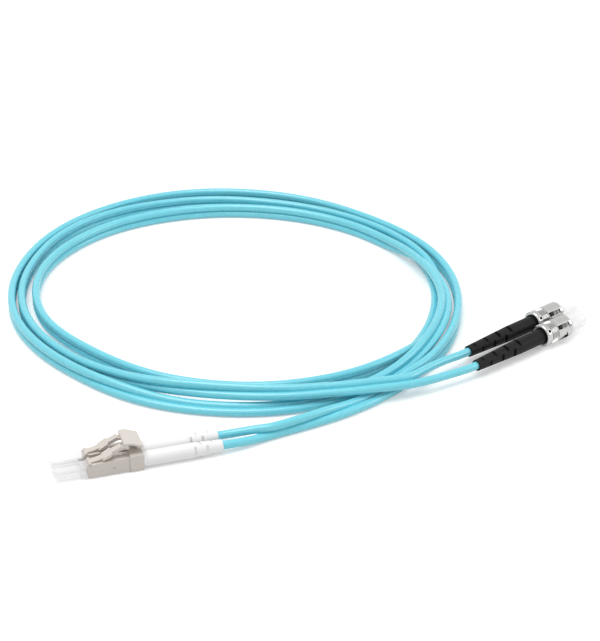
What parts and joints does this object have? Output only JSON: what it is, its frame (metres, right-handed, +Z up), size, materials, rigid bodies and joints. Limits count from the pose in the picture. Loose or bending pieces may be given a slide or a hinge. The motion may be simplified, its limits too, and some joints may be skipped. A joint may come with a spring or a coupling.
{
  "type": "duplex fibre optic patch cord",
  "caption": "Aqua duplex fibre patch cord in a loose coil, latching small-form plugs on one end and bayonet connectors on the other, all with dust caps.",
  "frame": {"origin": "centre of the duplex clip's flat underside, on the surface that the cord lies on", "axes": "+X from the plugs' noses to their boots, +Y towards the coil, +Z up from the surface"},
  "size_m": [0.214, 0.2055, 0.0109],
  "materials": {
    "jacket": "smooth aqua jacket with a soft sheen",
    "beige_plastic": "moulded beige plastic, satin",
    "white_boot": "moulded white elastomer, satin",
    "black_boot": "moulded black rubber, semi-matt",
    "cap_plastic": "clear white moulded plastic",
    "nickel": "bright nickel plate",
    "ceramic": "polished zirconia",
    "spring_steel": "drawn stainless wire",
    "gilt_brass": "annealed crimp sleeve",
    "buffer": "tight buffer coating"
  },
  "bodies": {
    "base": {"duplex_clip": "beige_plastic", "plug_housing_near": "beige_plastic", "plug_backpost_near": "nickel", "plug_crimp_near": "gilt_brass", "plug_boot_near": "white_boot", "plug_spring_near": "spring_steel", "bayonet_body_near": "nickel", "bayonet_ferrule_near": "ceramic", "bayonet_fibre_near": "buffer", "bayonet_circlip_near": "spring_steel", "bayonet_crimp_near": "nickel", "bayonet_boot_near": "black_boot", "bayonet_spring_near": "spring_steel", "plug_housing_far": "beige_plastic", "plug_backpost_far": "nickel", "plug_crimp_far": "gilt_brass", "plug_boot_far": "white_boot", "plug_spring_far": "spring_steel", "bayonet_body_far": "nickel", "bayonet_ferrule_far": "ceramic", "bayonet_fibre_far": "buffer", "bayonet_circlip_far": "spring_steel", "bayonet_crimp_far": "nickel", "bayonet_boot_far": "black_boot", "bayonet_spring_far": "spring_steel", "twin_coil": "jacket", "plug_lead": "jacket", "bayonet_lead": "jacket", "plug_leg_near": "jacket", "plug_leg_far": "jacket", "bayonet_leg_near": "jacket", "bayonet_leg_far": "jacket"},
    "trigger": {"clip_trigger": "beige_plastic"},
    "latch_near": {"plug_latch_near": "beige_plastic"},
    "plug_ferrule_near": {"plug_ferrule_near": "ceramic", "plug_flange_near": "nickel", "plug_fibre_near": "buffer"},
    "plug_cap_near": {"plug_cap_near": "cap_plastic"},
    "latch_far": {"plug_latch_far": "beige_plastic"},
    "plug_ferrule_far": {"plug_ferrule_far": "ceramic", "plug_flange_far": "nickel", "plug_fibre_far": "buffer"},
    "plug_cap_far": {"plug_cap_far": "cap_plastic"},
    "washer_near": {"bayonet_washer_near": "spring_steel"},
    "nut_near": {"bayonet_nut_near": "nickel"},
    "bayonet_cap_near": {"bayonet_cap_near": "cap_plastic"},
    "washer_far": {"bayonet_washer_far": "spring_steel"},
    "nut_far": {"bayonet_nut_far": "nickel"},
    "bayonet_cap_far": {"bayonet_cap_far": "cap_plastic"}
  },
  "joints": [
    {"name": "trigger_press", "type": "hinge", "parent": "base", "child": "trigger", "pos_m": [0.0016, 0, 0.00775], "axis": [0, 1, 0], "range_deg": [-11, 0], "stiffness_Nm_per_rad": 0.02},
    {"name": "latch_near_bend", "type": "hinge", "parent": "base", "child": "latch_near", "pos_m": [-0.0155, -0.00313, 0.00534], "axis": [0, 1, 0], "range_deg": [0, 5.5], "stiffness_Nm_per_rad": 0.01},
    {"name": "plug_ferrule_near_float", "type": "slide", "parent": "base", "child": "plug_ferrule_near", "axis": [1, 0, 0], "range_m": [0, 0.0015], "stiffness_N_per_m": 1500, "deforming": ["plug_spring_near"]},
    {"name": "plug_cap_near_pull", "type": "slide", "parent": "base", "child": "plug_cap_near", "axis": [-1, 0, 0], "range_m": [0, 0.012]},
    {"name": "latch_far_bend", "type": "hinge", "parent": "base", "child": "latch_far", "pos_m": [-0.0155, 0.00313, 0.00534], "axis": [0, 1, 0], "range_deg": [0, 5.5], "stiffness_Nm_per_rad": 0.01},
    {"name": "plug_ferrule_far_float", "type": "slide", "parent": "base", "child": "plug_ferrule_far", "axis": [1, 0, 0], "range_m": [0, 0.0015], "stiffness_N_per_m": 1500, "deforming": ["plug_spring_far"]},
    {"name": "plug_cap_far_pull", "type": "slide", "parent": "base", "child": "plug_cap_far", "axis": [-1, 0, 0], "range_m": [0, 0.012]},
    {"name": "nut_near_push", "type": "slide", "parent": "base", "child": "washer_near", "axis": [0.9272, 0.3746, 0], "range_m": [0, 0.0025], "stiffness_N_per_m": 1500, "deforming": ["bayonet_spring_near"]},
    {"name": "nut_near_turn", "type": "hinge", "parent": "washer_near", "child": "nut_near", "pos_m": [0.1757, 0.0354, 0.00435], "axis": [0.9272, 0.3746, 0], "continuous": true},
    {"name": "bayonet_cap_near_pull", "type": "slide", "parent": "base", "child": "bayonet_cap_near", "axis": [0.9272, 0.3746, 0], "range_m": [0, 0.012]},
    {"name": "nut_far_push", "type": "slide", "parent": "base", "child": "washer_far", "axis": [0.9272, 0.3746, 0], "range_m": [0, 0.0025], "stiffness_N_per_m": 1500, "deforming": ["bayonet_spring_far"]},
    {"name": "nut_far_turn", "type": "hinge", "parent": "washer_far", "child": "nut_far", "pos_m": [0.17698, 0.04584, 0.00435], "axis": [0.9272, 0.3746, 0], "continuous": true},
    {"name": "bayonet_cap_far_pull", "type": "slide", "parent": "base", "child": "bayonet_cap_far", "axis": [0.9272, 0.3746, 0], "range_m": [0, 0.012]}
  ],
  "couplings": [
    {"joint": "latch_near_bend", "follows": "trigger_press", "ratio": -0.5},
    {"joint": "latch_far_bend", "follows": "trigger_press", "ratio": -0.5}
  ]
}
